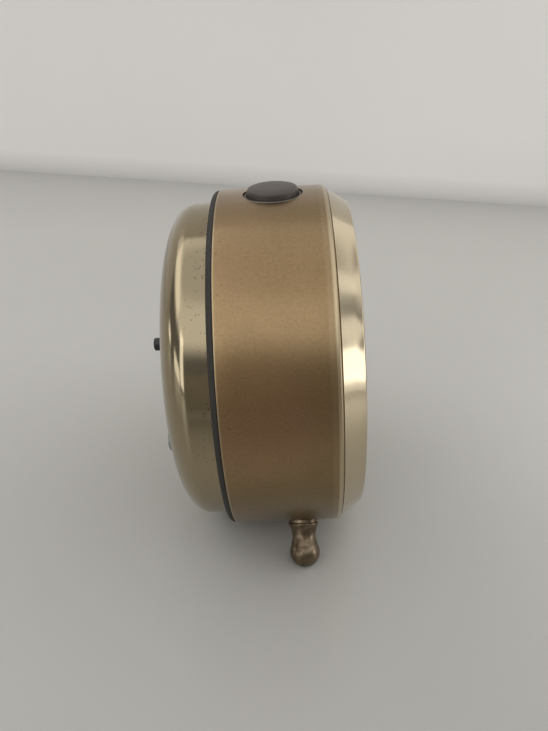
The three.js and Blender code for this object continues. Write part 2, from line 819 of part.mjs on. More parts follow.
function addTrain() {
  const secondPinion = pinionArbor(GREAT_WHEEL_R / 4, 8, 9.6);
  const thirdPinion = pinionArbor(SECOND_WHEEL_R / 4, 10.2, 11.6);
  const escapePinion = pinionArbor(THIRD_WHEEL_R / 4, 6.2, 7.6);
  const bore = ARBOR_R + GAP;
  const secondWheel = wheel(WHEEL_TEETH, SECOND_WHEEL_R, bore, 10.6, 11.2);
  const thirdWheel = wheel(WHEEL_TEETH, THIRD_WHEEL_R, bore, 6.6, 7.2);
  add('second_arbor', secondPinion, STEEL, SECOND, gapTowards(SECOND, WINDING, PINION_TEETH));
  add('second_wheel', secondWheel, MOVEMENT_BRASS, SECOND, toothTowards(SECOND, THIRD));
  add('third_arbor', thirdPinion, STEEL, THIRD, gapTowards(THIRD, SECOND, PINION_TEETH));
  add('third_wheel', thirdWheel, MOVEMENT_BRASS, THIRD, toothTowards(THIRD, ESCAPE));
  add('escape_arbor', escapePinion, STEEL, ESCAPE, gapTowards(ESCAPE, THIRD, PINION_TEETH));
  add('escape_wheel', escapeWheel(), MOVEMENT_BRASS, ESCAPE);
}

function addEscapement() {
  add('pallet_lever', palletLever(), STEEL, PALLET);
  add('balance_staff', arborRod(0.7), STEEL, BALANCE);
  add('balance_wheel', balanceWheel(), MOVEMENT_BRASS, BALANCE);
  add('hairspring', spiral(1.4, 4.2, 3, 0.2, 5, 5.6, 14), SPRING_STEEL, BALANCE);
  add('regulator_lever', regulatorLever(), STEEL, BALANCE);
  add('regulator_tip', regulatorTip(), BLACK_PLASTIC, REGULATOR_TIP);
}

function addBell() {
  add('gong', gongCup(), STEEL, GONG);
  add('gong_post', threadedPost(1.9, -8.3), STEEL, GONG);
  add('gong_screw', cheeseScrew(2.6, -10.5, -9.6, 1.1, -4.5), STEEL, GONG);
  add('bell_hammer', bellHammer(), STEEL, HAMMER);
  add('hammer_spring', hammerSpring(), SPRING_STEEL, HAMMER);
}

addCase();
addStopButton();
addMovementFrame();
addWinding();
addHand();
addTrain();
addEscapement();
addBell();

timer.rotation.x = Math.PI / 2 - LEAN;
const extent = new THREE.Box3().setFromObject(timer, true);
timer.position.set(0, -(extent.min.y + extent.max.y) / 2, -extent.min.z);

const standing = new THREE.Group();
standing.add(timer);

export default standing;
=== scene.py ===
"""Visual model of a wind-up minute timer in a round brass case, laid out as a Blender add-on.

Every new piece is modelled in the case's own axes, in millimetres: x to the right seen from the
front, y up the dial, z forward out of the dial, with the drum's rear edge at zero. The case frame,
taken from the hand's joint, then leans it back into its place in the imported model.
"""

import json
import math
import bpy
from bpy.props import FloatProperty, FloatVectorProperty, IntProperty, PointerProperty
from mathutils import Matrix, Vector


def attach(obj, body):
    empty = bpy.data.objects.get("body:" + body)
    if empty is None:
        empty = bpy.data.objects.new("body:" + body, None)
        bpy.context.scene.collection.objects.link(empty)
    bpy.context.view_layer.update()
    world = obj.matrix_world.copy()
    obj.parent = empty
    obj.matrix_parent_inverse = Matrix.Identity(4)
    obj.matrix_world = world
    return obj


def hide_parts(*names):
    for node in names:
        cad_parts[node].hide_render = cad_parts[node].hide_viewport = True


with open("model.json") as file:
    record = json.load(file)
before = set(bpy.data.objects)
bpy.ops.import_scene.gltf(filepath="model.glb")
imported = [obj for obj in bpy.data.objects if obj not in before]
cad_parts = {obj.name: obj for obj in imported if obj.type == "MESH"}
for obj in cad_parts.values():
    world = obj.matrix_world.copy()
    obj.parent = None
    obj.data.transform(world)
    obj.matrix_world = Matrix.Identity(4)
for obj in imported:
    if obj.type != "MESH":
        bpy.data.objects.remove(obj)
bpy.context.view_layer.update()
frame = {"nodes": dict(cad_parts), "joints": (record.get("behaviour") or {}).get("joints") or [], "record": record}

bl_info = {
    "name": "Drum Case Minute Timer",
    "version": (1, 0, 0),
    "blender": (4, 5, 0),
    "location": "View3D > Sidebar > Timer",
    "description": "Builds the finished look of a wind-up minute timer in a round brass case",
    "category": "Object",
}

MM = 0.001
CENTRE_JOINT = next(j for j in frame["joints"] if j["name"] == "hand_turn")
CENTRE = Vector(CENTRE_JOINT["pos_m"])
FORWARD = Vector(CENTRE_JOINT["axis"]).normalized()
UP = FORWARD.cross(Vector((1, 0, 0))).normalized()


def columns(right, up, forward, origin):
    """A placing matrix from three axes and an origin."""
    return Matrix.Translation(origin) @ Matrix((right, up, forward)).transposed().to_4x4()


CASE_PLACE = columns(Vector((1, 0, 0)), UP, FORWARD, CENTRE)

# Places that several pieces share, in the case's axes.
BUTTON_MIDDLE = 11.56
FOOT_MIDDLE = 14.7
WINDING = (0, -13)
BALANCE = (9, 8.7)
REGULATOR_TIP = (0, 4.3)
COVER_SCREWS = {"left": (-20.5, -8), "right": (20.5, -8)}
DIAL_FACE = 18.5

# Where the camera stands and how it looks, in the case's axes.
CAMERA_EYE = (-133.84, 73.49, 14.14)
CAMERA_AIM = (0.8681, -0.4956, -0.0299)
CAMERA_TOP = (0.4966, 0.8667, 0.0485)

# The wall's direction in degrees from +X, and where its foot crosses the x axis in millimetres.
WALL_TURN = 83.264
WALL_FOOT = 300.3


def linear(code):
    """An sRGB hex colour as linear red, green, blue and alpha."""
    parts = [int(code[i : i + 2], 16) / 255 for i in (1, 3, 5)]
    return [c / 12.92 if c <= 0.04045 else ((c + 0.055) / 1.055) ** 2.4 for c in parts] + [1.0]


def colour(name, code, description):
    """A colour property whose default is an sRGB hex value."""
    return FloatVectorProperty(
        name=name, description=description, subtype="COLOR", size=4, min=0, max=1, default=linear(
            code
        )
    )


def length(name, value, description):
    """A length property in metres whose default is given in millimetres."""
    return FloatProperty(
        name=name, description=description, default=value * MM, min=0, unit="LENGTH", precision=5
    )


# ------------------------------------------------------------------------------------ settings


class TimerCaseSettings(bpy.types.PropertyGroup):
    """Sizes of the drum, its rear cover and its bezel."""

    drum_radius: length("Drum radius", 38, "Outside radius of the drum")
    drum_front: length("Drum depth", 22.8, "From the drum's rear edge to its rolled front")
    drum_roll: length("Roll radius", 0.7, "Radius of the rolled front edge")
    drum_mouth: length("Mouth radius", 35.5, "Radius of the opening that takes the bezel")
    wall: length("Drum wall", 0.8, "Thickness of the spun sheet")
    cover_radius: length("Cover radius", 35.5, "Outside radius of the domed cover")
    cover_flat: length("Cover flat", 24.3, "Radius of the cover's flat back")
    cover_corner: length("Cover corner", 6.4, "Depth of the cover's rounded corner")
    cover_depth: length("Cover depth", 11.8, "From the drum's rear edge to the cover's back")
    cover_wall: length("Cover wall", 0.7, "Thickness of the cover")
    bezel_radius: length("Bezel radius", 37.2, "Radius of the bezel at the drum")
    bezel_edge: length("Bezel edge radius", 34.4, "Radius where the bezel's cone meets its lip")
    bezel_front: length("Bezel front", 27.4, "Height of the bezel's front face")
    sight: length("Sight radius", 32.2, "Radius of the opening in front of the glass")
    facets: IntProperty(
        name="Facets", description="Sides of the large turned pieces", default=192, min=48
    )


class TimerFittingSettings(bpy.types.PropertyGroup):
    """Sizes of the feet, the stop button and the rear controls."""

    ball: length("Ball radius", 3.37, "Radius of a foot's ball end")
    ball_centre: length("Ball centre", 45.18, "From the case's axis to the ball's centre")
    collar: length("Collar radius", 3.44, "Radius of a foot's collar")
    waist: length("Waist radius", 2.64, "Radius of a foot's waist")
    foot_spread: FloatProperty(
        name="Foot spread",
        description="Angle of each foot from straight down",
        default=math.radians(37.2),
        subtype="ANGLE",
    )
    button: length("Button radius", 5.3, "Radius of the stop button")
    button_top: length("Button top", 39.52, "From the case's axis to the button's top")
    button_hole: length("Button hole radius", 6.2, "Radius of the hole in the drum")
    knob: length("Knob radius", 9, "Radius of the winding knob")
    knob_ribs: IntProperty(
        name="Knob ribs", description="Grip ribs round the knob", default=36, min=8
    )


class TimerFinishSettings(bpy.types.PropertyGroup):
    """Colours of the finishes."""

    lacquered_brass: colour("Lacquered brass", "#967B58", "Aged satin lacquer on the drum")
    # Lacquer stain colour: the real brown clouding of the drum's lacquer and also the painted shade on its lower
    # half.
    lacquer_stain_and_shade: colour("Lacquer stain", "#766239", "Browner clouding in the drum's lacquer")
    cover_brass: colour("Polished brass", "#9E9177", "Rear cover")
    bezel_brass: colour("Pale polished brass", "#C0B297", "Bezel")
    tarnished_brass: colour("Tarnished brass", "#7C6E5B", "Ball feet")
    rubber: colour("Rubber", "#2D2A25", "Gasket bead")
    button_brown: colour("Brown plastic", "#463E38", "Stop button")
    black_plastic: colour("Black plastic", "#1D1B19", "Winding knob and regulator tip")
    cream: colour("Cream enamel", "#F0E9D4", "Dial and the ring round it")
    ink: colour("Printing ink", "#1C1B1A", "Minute marks, numerals and the hand")
    movement_brass: colour("Movement brass", "#B99A55", "Plates and wheels")
    steel: colour("Steel", "#A0A2A4", "Screws, arbors and posts")
    blued_steel: colour("Blued steel", "#465261", "Springs")
    table: colour("Table", "#BCBAB5", "Matt pale table top")
    flag: colour("Flag", "#CBC5BC", "Grey card that keeps light off the near side")
    wall: colour("Wall", "#F2EFEB", "Matt pale wall")


# ---------------------------------------------------------------------------- modelling helpers


def start_clean():
    """Leaves edit mode and deselects everything, CAD nodes included."""
    if bpy.context.object and bpy.context.object.mode != "OBJECT":
        bpy.ops.object.mode_set(mode="OBJECT")
    bpy.ops.object.select_all(action="DESELECT")


def pick(*pieces):
    """Selects just these pieces, the first one active."""
    start_clean()
    for piece in pieces:
        piece.select_set(True)
    bpy.context.view_layer.objects.active = pieces[0]


def edit(piece):
    """Edit mode on one piece with nothing selected, in face mode."""
    pick(piece)
    bpy.ops.object.mode_set(mode="EDIT")
    bpy.ops.mesh.select_mode(type="FACE")
    bpy.ops.mesh.select_all(action="DESELECT")


def select_faces(piece, test):
    """In edit mode, selects the faces whose centre and normal pass the test."""
    bpy.ops.object.mode_set(mode="OBJECT")
    for face in piece.data.polygons:
        face.select = bool(test(face.center / MM, face.normal))
    bpy.ops.object.mode_set(mode="EDIT")


def arc(centre, radii, start, end, steps):
    """Points along an elliptical arc, angles in degrees."""
    angles = [math.radians(start + (end - start) * i / steps) for i in range(steps + 1)]
    return [
        (centre[0] + radii[0] * math.cos(a), centre[1] + radii[1] * math.sin(a)) for a in angles
    ]


def turn(name, outline, facets, ring=False):
    """Turns an outline of (radius, height) points in millimetres about the upright axis.

    A circle is added at the first point, then extruded and scaled from point to point, as on a
    lathe. A ring closes back on its first point; otherwise both ends are capped.
    """
    start_clean()
    radius, height = outline[0]
    bpy.ops.mesh.primitive_circle_add(
        vertices=facets,
        radius=radius * MM,
        fill_type="NOTHING" if ring else "NGON",
        location=(0, 0, height * MM),
    )
    piece = bpy.context.object
    piece.name = name
    piece.data.name = name
    bpy.ops.object.transform_apply(location=True, rotation=True, scale=True)
    bpy.ops.object.mode_set(mode="EDIT")
    bpy.ops.mesh.select_mode(type="EDGE" if ring else "FACE")
    bpy.ops.mesh.select_all(action="SELECT")
    for r, z in outline[1:] + (outline[:1] if ring else []):
        bpy.ops.mesh.extrude_region_move(
            TRANSFORM_OT_translate={"value": (0, 0, (z - height) * MM)}
        )
        scale = r / radius
        bpy.ops.transform.resize(value=(scale, scale, 1), center_override=(0, 0, 0))
        radius, height = r, z
    bpy.ops.mesh.select_all(action="SELECT")
    bpy.ops.mesh.remove_doubles(threshold=0.002 * MM)
    bpy.ops.mesh.normals_make_consistent(inside=False)
    bpy.ops.object.mode_set(mode="OBJECT")
    return piece


def put(piece, place):
    """Places a piece and applies the place to its mesh."""
    pick(piece)
    piece.matrix_world = place @ piece.matrix_world
    bpy.ops.object.transform_apply(location=True, rotation=True, scale=True)
    return piece


def shift(x, y, z=0):
    """A move in the case's axes, in millimetres."""
    return Matrix.Translation(Vector((x, y, z)) * MM)


def spoke(degrees, height):
    """Points a piece drawn upwards out of the case's axis, at an angle from the case's x."""
    a = math.radians(degrees)
    out = Vector((math.cos(a), math.sin(a), 0))
    return columns(
        Vector((0, 0, 1)).cross(out), Vector((0, 0, 1)), out, Vector((0, 0, height * MM))
    )


def apply_modifiers(piece):
    """Applies a piece's modifiers in order."""
    pick(piece)
    for modifier in list(piece.modifiers):
        bpy.ops.object.modifier_apply(modifier=modifier.name)


def combine(piece, tool, operation):
    """Welds a tool to a piece or takes it away from it, and removes the tool."""
    change = piece.modifiers.new("Change", "BOOLEAN")
    change.operation = operation
    change.solver = "EXACT"
    change.object = tool
    apply_modifiers(piece)
    bpy.data.objects.remove(tool)


def cut(piece, *tools):
    """Cuts the tools out of a piece and removes them."""
    for tool in tools:
        combine(piece, tool, "DIFFERENCE")


def peg(radius, levels, facets=32):
    """A rod between two levels, to cut a round hole with."""
    low, high = levels
    return turn("tool", [(radius, low), (radius, high)], facets)


def block(name, size, at):
    """A cuboid centred at a place, both in millimetres."""
    start_clean()
    bpy.ops.mesh.primitive_cube_add(size=1)
    piece = bpy.context.object
    piece.name = name
    piece.scale = Vector(size) * MM
    piece.location = Vector(at) * MM
    bpy.ops.object.transform_apply(location=True, rotation=True, scale=True)
    return piece


def soften(piece, width, angle):
    """Rounds a piece's sharp edges by a width in millimetres."""
    rounding = piece.modifiers.new("Rounding", "BEVEL")
    rounding.width = width * MM
    rounding.segments = 2
    rounding.limit_method = "ANGLE"
    rounding.angle_limit = math.radians(angle)
    apply_modifiers(piece)


def join(name, *pieces):
    """Joins pieces into the first one."""
    pick(*pieces)
    bpy.ops.object.join()
    joined = bpy.context.object
    joined.name = name
    joined.data.name = name
    return joined


def finish(piece, material, body, nodes=(), place=CASE_PLACE, angle=28):
    """Places a finished piece, smooths it, gives it its material and puts it on its body."""
    put(piece, place)
    bpy.ops.object.shade_smooth_by_angle(angle=math.radians(angle))
    piece.data.materials.clear()
    piece.data.materials.append(material)
    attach(piece, body)
    if nodes:
        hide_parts(*nodes)


# --------------------------------------------------------------------------------- materials


def feed(tree, made, inputs):
    """Fills a node's inputs with values, or links outputs of other nodes to them."""
    for key, value in inputs.items():
        if isinstance(value, bpy.types.NodeSocket):
            tree.links.new(value, made.inputs[key])
        else:
            made.inputs[key].default_value = value


def node(tree, kind, inputs=None, **settings):
    """Adds one node with its settings and its inputs."""
    made = tree.nodes.new(kind)
    for name, value in settings.items():
        setattr(made, name, value)
    feed(tree, made, inputs or {})
    return made


def begin(name):
    """A new material with only its shader and output."""
    material = bpy.data.materials.new(name)
    material.use_nodes = True
    tree = material.node_tree
    tree.nodes.clear()
    shader = node(tree, "ShaderNodeBsdfPrincipled")
    node(tree, "ShaderNodeOutputMaterial", {"Surface": shader.outputs["BSDF"]})
    return material, tree, shader


def set_stops(ramp, stops):
    """Sets a ramp's stops from (place, grey value) pairs, the first at 0 and the last at 1."""
    ramp.elements[0].color = (stops[0][1],) * 3 + (1,)
    ramp.elements[-1].color = (stops[-1][1],) * 3 + (1,)
    for place, value in stops[1:-1]:
        ramp.elements.new(place).color = (value,) * 3 + (1,)


def case_coordinates(tree):
    """Object coordinates in millimetres, centred on the case's axis as on the lathe."""
    place = node(tree, "ShaderNodeTexCoord")
    turned = node(
        tree,
        "ShaderNodeMapping",
        {
            "Vector": place.outputs["Object"],
            "Location": CASE_PLACE.to_translation(),
            "Rotation": CASE_PLACE.to_euler(),
        },
        vector_type="TEXTURE",
    )
    return node(
        tree, "ShaderNodeVectorMath", {0: turned.outputs[0], "Scale": 1 / MM}, operation="SCALE"
    ).outputs[0]


def lacquered_spun_brass():
    """Spun brass under an aged satin lacquer.

    The lacquer gives a broad soft shine with fine orange peel. It has browned in clouds, and its
    lower half is painted a darker brown as painted shade. A warm painted highlight sits on the
    left side at mid height. It is pitted near the rear edge, and both rims carry thin pale
    painted highlights on their rounded edges, the front one beside a faint pale band of wear.
    """
    finish_colours = bpy.context.scene.timer_finish
    material, tree, shader = begin("Lacquered spun brass")
    where = case_coordinates(tree)
    clouds = node(
        tree, "ShaderNodeTexNoise", {"Vector": where, "Scale": 0.05, "Detail": 3, "Roughness": 0.5}
    )
    mottle = node(
        tree, "ShaderNodeTexNoise", {"Vector": where, "Scale": 1.8, "Detail": 3, "Roughness": 0.7}
    )
    peel = node(
        tree, "ShaderNodeTexNoise", {"Vector": where, "Scale": 1.6, "Detail": 2, "Roughness": 0.5}
    )
    along = node(tree, "ShaderNodeSeparateXYZ", {"Vector": where})
    # Painted shade: the drum is browned more and more towards its bottom, below 2 mm above the axis.
    low = node(
        tree,
        "ShaderNodeMapRange",
        {
            "Value": along.outputs["Y"],
            "From Min": 2,
            "From Max": -14,
            "To Min": 0.0,
            "To Max": 0.55,
        },
        interpolation_type="SMOOTHSTEP",
    )
    cloudy = node(
        tree,
        "ShaderNodeMapRange",
        {
            "Value": clouds.outputs["Fac"],
            "From Min": 0.35,
            "From Max": 0.7,
            "To Min": 0.0,
            "To Max": 0.45,
        },
    )
    # Real brown clouds plus the painted shade of the lower half.
    stain_and_low_shade = node(
        tree, "ShaderNodeMath", {0: low.outputs[0], 1: cloudy.outputs[0]}, operation="ADD"
    )
    base = node(
        tree,
        "ShaderNodeMix",
        {
            0: stain_and_low_shade.outputs[0],
            6: finish_colours.lacquered_brass,
            7: finish_colours.lacquer_stain_and_shade,
        },
        data_type="RGBA",
    )
    # Painted highlight: a warm lighter spot (#A47E5F) on the drum's left side at mid height.
    highlight_reach = node(tree, "ShaderNodeVectorMath", {0: where, 1: (-38, 6, 8)}, operation="DISTANCE")
    painted_highlight = node(
        tree,
        "ShaderNodeMapRange",
        {
            "Value": highlight_reach.outputs["Value"],
            "From Min": 4,
            "From Max": 16,
            "To Min": 0.5,
            "To Max": 0.0,
        },
        interpolation_type="SMOOTHSTEP",
    )
    highlit_base = node(
        tree,
        "ShaderNodeMix",
        {0: painted_highlight.outputs[0], 6: base.outputs[2], 7: linear("#A47E5F")},
        data_type="RGBA",
    )
    flecks = node(
        tree,
        "ShaderNodeMapRange",
        {
            "Value": mottle.outputs["Fac"],
            "From Min": 0.3,
            "From Max": 0.7,
            "To Min": 0.9,
            "To Max": 1.1,
        },
    )
    flecked = node(
        tree,
        "ShaderNodeVectorMath",
        {0: highlit_base.outputs[2], "Scale": flecks.outputs[0]},
        operation="SCALE",
    )
    pits = node(tree, "ShaderNodeTexVoronoi", {"Vector": where, "Scale": 0.55, "Randomness": 1.0})
    pit_spots = node(
        tree,
        "ShaderNodeMapRange",
        {
            "Value": pits.outputs["Distance"],
            "From Min": 0.07,
            "From Max": 0.13,
            "To Min": 1.0,
            "To Max": 0.0,
        },
    )
    near_rear = node(
        tree,
        "ShaderNodeMapRange",
        {
            "Value": along.outputs["Z"],
            "From Min": 0.5,
            "From Max": 4.0,
            "To Min": 0.6,
            "To Max": 0.0,
        },
    )
    pitted = node(
        tree,
        "ShaderNodeMath",
        {0: pit_spots.outputs[0], 1: near_rear.outputs[0]},
        operation="MULTIPLY",
    )
    pitted_skin = node(
        tree,
        "ShaderNodeMix",
        {0: pitted.outputs[0], 6: flecked.outputs[0], 7: linear("#3A2C1C")},
        data_type="RGBA",
    )
    # Painted highlights: thin pale brass lines (#CDBD9C) on the rounded rear and front rims; the faint pale band
    # just behind the front rim is wear.
    front = bpy.context.scene.timer_case.drum_front / MM
    depth = node(tree, "ShaderNodeMapRange", {"Value": along.outputs["Z"], "From Max": front})
    rim_wear_and_highlights = node(tree, "ShaderNodeValToRGB", {"Fac": depth.outputs[0]})
    rear_rim_highlight = [(0, 0.35), (0.01, 0.35), (0.02, 0)]
    front_rim_wear_and_highlight = [(0.9, 0), (0.92, 0.1), (0.955, 0.1), (0.967, 0.65), (0.984, 0.65), (1, 0)]
    set_stops(rim_wear_and_highlights.color_ramp, rear_rim_highlight + front_rim_wear_and_highlight)
    worn_and_highlit = node(
        tree,
        "ShaderNodeMix",
        {0: rim_wear_and_highlights.outputs[0], 6: pitted_skin.outputs[2], 7: linear("#CDBD9C")},
        data_type="RGBA",
    )
    gloss = node(
        tree,
        "ShaderNodeMapRange",
        {
            "Value": clouds.outputs["Fac"],
            "From Min": 0.3,
            "From Max": 0.7,
            "To Min": 0.3,
            "To Max": 0.38,
        },
    )
    skin = node(
        tree,
        "ShaderNodeBump",
        {"Height": peel.outputs["Fac"], "Strength": 0.12, "Distance": 0.05 * MM},
    )
    feed(
        tree,
        shader,
        {
            "Base Color": worn_and_highlit.outputs[2],
            "Roughness": gloss.outputs[0],
            "Normal": skin.outputs[0],
            "Metallic": 1.0,
            "Coat Weight": 0.5,
            "Coat Roughness": 0.2,
        },
    )
    return material


def polished_brass(name, base_colour, specked):
    """Brass, spun, polished and lacquered.

    Near-mirror reflections, very faintly drawn out round the case by the polishing mop, with tiny
    dark specks where the lacquer has lifted close to the gasket.
    """
    material, tree, shader = begin(name)
    where = case_coordinates(tree)
    haze = node(
        tree, "ShaderNodeTexNoise", {"Vector": where, "Scale": 0.12, "Detail": 4, "Roughness": 0.6}
    )
    specks = node(tree, "ShaderNodeTexVoronoi", {"Vector": where, "Scale": 1.1, "Randomness": 1.0})
    speck_spots = node(
        tree,
        "ShaderNodeMapRange",
        {
            "Value": specks.outputs["Distance"],
            "From Min": 0.14,
            "From Max": 0.24,
            "To Min": 1.0,
            "To Max": 0.0,
        },
    )
    height = node(tree, "ShaderNodeSeparateXYZ", {"Vector": where})
    near_gasket = node(
        tree,
        "ShaderNodeMapRange",
        {
            "Value": height.outputs["Z"],
            "From Min": -7.0,
            "From Max": -1.0,
            "To Min": 0.0,
            "To Max": specked,
        },
    )
    patches = node(
        tree,
        "ShaderNodeMapRange",
        {
            "Value": haze.outputs["Fac"],
            "From Min": 0.38,
            "From Max": 0.5,
            "To Min": 0.0,
            "To Max": 1.0,
        },
    )
    behind = node(
        tree,
        "ShaderNodeMath",
        {0: near_gasket.outputs[0], 1: patches.outputs[0]},
        operation="MULTIPLY",
    )
    spots = node(
        tree,
        "ShaderNodeMath",
        {0: speck_spots.outputs[0], 1: behind.outputs[0]},
        operation="MULTIPLY",
    )
    base = node(
        tree,
        "ShaderNodeMix",
        {0: spots.outputs[0], 6: base_colour, 7: linear("#3E3220")},
        data_type="RGBA",
    )
    gloss = node(
        tree,
        "ShaderNodeMapRange",
        {
            "Value": haze.outputs["Fac"],
            "From Min": 0.3,
            "From Max": 0.7,
            "To Min": 0.12,
            "To Max": 0.18,
        },
    )
    ripple = node(
        tree,
        "ShaderNodeTexNoise",
        {"Vector": where, "Scale": 0.35, "Detail": 1, "Roughness": 0.4},
    )
    skin = node(
        tree,
        "ShaderNodeBump",
        {"Height": ripple.outputs["Fac"], "Strength": 0.06, "Distance": 0.04 * MM},
    )
    feed(
        tree,
        shader,
        {
            "Base Color": base.outputs[2],
            "Roughness": gloss.outputs[0],
            "Normal": skin.outputs[0],
            "Metallic": 1.0,
        },
    )
    return material


def tarnished_brass():
    """Turned brass left bare, dulled by years of handling.

    Dark brown tarnish in cloudy patches lets a few softer, yellower highlights through.
    """
    finish_colours = bpy.context.scene.timer_finish
    material, tree, shader = begin("Tarnished turned brass")
    where = case_coordinates(tree)
    tarnish = node(
        tree,
        "ShaderNodeTexNoise",
        {"Vector": where, "Scale": 0.55, "Detail": 5, "Roughness": 0.65},
    )
    amount = node(
        tree,
        "ShaderNodeMapRange",
        {"Value": tarnish.outputs["Fac"], "From Min": 0.38, "From Max": 0.62},
    )
    base = node(
        tree,
        "ShaderNodeMix",
        {0: amount.outputs[0], 6: finish_colours.tarnished_brass, 7: linear("#5E5140")},
        data_type="RGBA",
    )
    gloss = node(
        tree,
        "ShaderNodeMapRange",
        {
            "Value": tarnish.outputs["Fac"],
            "From Min": 0.3,
            "From Max": 0.7,
            "To Min": 0.26,
            "To Max": 0.42,
        },
    )
    skin = node(
        tree,
        "ShaderNodeBump",
        {"Height": tarnish.outputs["Fac"], "Strength": 0.25, "Distance": 0.06 * MM},
    )
    feed(
        tree,
        shader,
        {
            "Base Color": base.outputs[2],
            "Roughness": gloss.outputs[0],
            "Normal": skin.outputs[0],
            "Metallic": 1.0,
        },
    )
    return material


def machined_metal(name, base_colour, roughness, grain):
    """A machined or rolled metal with a fine directional grain.

    The grain breaks the reflection into short bright streaks and varies the gloss a little.
    """
    material, tree, shader = begin(name)
    where = case_coordinates(tree)
    drawn = node(
        tree,
        "ShaderNodeMapping",
        {"Vector": where, "Scale": (1.0, 12.0, 1.0)},
    )
    lines = node(
        tree, "ShaderNodeTexNoise", {"Vector": drawn.outputs[0], "Scale": grain, "Detail": 4}
    )
    shade = node(
        tree,
        "ShaderNodeMapRange",
        {
            "Value": lines.outputs["Fac"],
            "From Min": 0.3,
            "From Max": 0.7,
            "To Min": 0.85,
            "To Max": 1.05,
        },
    )
    base = node(
        tree,
        "ShaderNodeVectorMath",
        {0: base_colour[:3], "Scale": shade.outputs[0]},
        operation="SCALE",
    )
    gloss = node(
        tree,
        "ShaderNodeMapRange",
        {
            "Value": lines.outputs["Fac"],
            "From Min": 0.3,
            "From Max": 0.7,
            "To Min": roughness * 0.85,
            "To Max": roughness * 1.15,
        },
    )
    skin = node(
        tree,
        "ShaderNodeBump",
        {"Height": lines.outputs["Fac"], "Strength": 0.15, "Distance": 0.02 * MM},
    )
    feed(
        tree,
        shader,
        {
            "Base Color": base.outputs[0],
            "Roughness": gloss.outputs[0],
            "Normal": skin.outputs[0],
            "Metallic": 1.0,
        },
    )
    return material


def matt_skin(name, base_colour, roughness, pebble, relief, spread=0.12):
    """A moulded or painted skin with a fine pebble.

    The pebble softens the shine and the tone drifts slightly, as in moulded plastic, rubber or
    sprayed paint.
    """
    material, tree, shader = begin(name)
    where = case_coordinates(tree)
    grain = node(tree, "ShaderNodeTexNoise", {"Vector": where, "Scale": pebble, "Detail": 3})
    drift = node(tree, "ShaderNodeTexNoise", {"Vector": where, "Scale": 0.15, "Detail": 3})
    shade = node(
        tree,
        "ShaderNodeMapRange",
        {
            "Value": drift.outputs["Fac"],
            "From Min": 0.3,
            "From Max": 0.7,
            "To Min": 1 - spread,
            "To Max": 1 + spread,
        },
    )
    base = node(
        tree,
        "ShaderNodeVectorMath",
        {0: base_colour[:3], "Scale": shade.outputs[0]},
        operation="SCALE",
    )
    gloss = node(
        tree,
        "ShaderNodeMapRange",
        {
            "Value": grain.outputs["Fac"],
            "From Min": 0.3,
            "From Max": 0.7,
            "To Min": roughness * 0.9,
            "To Max": min(1, roughness * 1.1),
        },
    )
    skin = node(
        tree,
        "ShaderNodeBump",
        {"Height": grain.outputs["Fac"], "Strength": 0.3, "Distance": relief * MM},
    )
    feed(
        tree,
        shader,
        {
            "Base Color": base.outputs[0],
            "Roughness": gloss.outputs[0],
            "Normal": skin.outputs[0],
        },
    )
    return material


def clear_glass():
    """Flat soda-lime glass, polished.

    Clear, with a faint greenish edge; very slight waviness moves its reflections.
    """
    material, tree, shader = begin("Flat clear glass")
    where = case_coordinates(tree)
    waves = node(tree, "ShaderNodeTexNoise", {"Vector": where, "Scale": 0.05, "Detail": 1})
    skin = node(
        tree,
        "ShaderNodeBump",
        {"Height": waves.outputs["Fac"], "Strength": 0.03, "Distance": 0.05 * MM},
    )
    gloss = node(
        tree,
        "ShaderNodeMapRange",
        {
            "Value": waves.outputs["Fac"],
            "From Min": 0.3,
            "From Max": 0.7,
            "To Min": 0.02,
            "To Max": 0.03,
        },
    )
    feed(
        tree,
        shader,
        {
            "Base Color": linear("#FBFDFC"),
            "Roughness": gloss.outputs[0],
            "Normal": skin.outputs[0],
            "IOR": 1.52,
            "Transmission Weight": 1.0,
        },
    )
    return material


def plain_surface(name, base_colour, roughness, grain, axis, start, span, shade_stops):
    """Matt paint or laminate, nearly even, with a trace of unevenness in tone.

    The shade stops are (share of the span, tone) pairs along an axis. On the table and the wall
    they are painted shade: darker at the joint where the two surfaces meet and towards the
    table's near front. The start and the span are in metres.
    """
    material, tree, shader = begin(name)
    where = node(tree, "ShaderNodeTexCoord")
    drift = node(
        tree,
        "ShaderNodeTexNoise",
        {"Vector": where.outputs["Object"], "Scale": grain, "Detail": 4},
    )
    shade = node(
        tree,
        "ShaderNodeMapRange",
        {
            "Value": drift.outputs["Fac"],
            "From Min": 0.3,
            "From Max": 0.7,
            "To Min": 0.975,
            "To Max": 1.02,
        },
    )
    away = node(
        tree,
        "ShaderNodeVectorMath",
        {0: where.outputs["Object"], 1: axis},
        operation="DOT_PRODUCT",
    )
    share = node(
        tree,
        "ShaderNodeMapRange",
        {"Value": away.outputs["Value"], "From Min": start, "From Max": start + span},
    )
    # Painted shade: the stops darken the surface along the axis.
    painted_shade = node(tree, "ShaderNodeValToRGB", {"Fac": share.outputs[0]})
    set_stops(painted_shade.color_ramp, shade_stops)
    tone_and_painted_shade = node(
        tree, "ShaderNodeMath", {0: shade.outputs[0], 1: painted_shade.outputs[0]}, operation="MULTIPLY"
    )
    base = node(
        tree,
        "ShaderNodeVectorMath",
        {0: base_colour[:3], "Scale": tone_and_painted_shade.outputs[0]},
        operation="SCALE",
    )
    feed(tree, shader, {"Base Color": base.outputs[0], "Roughness": roughness})
    return material


FINISHES = {}


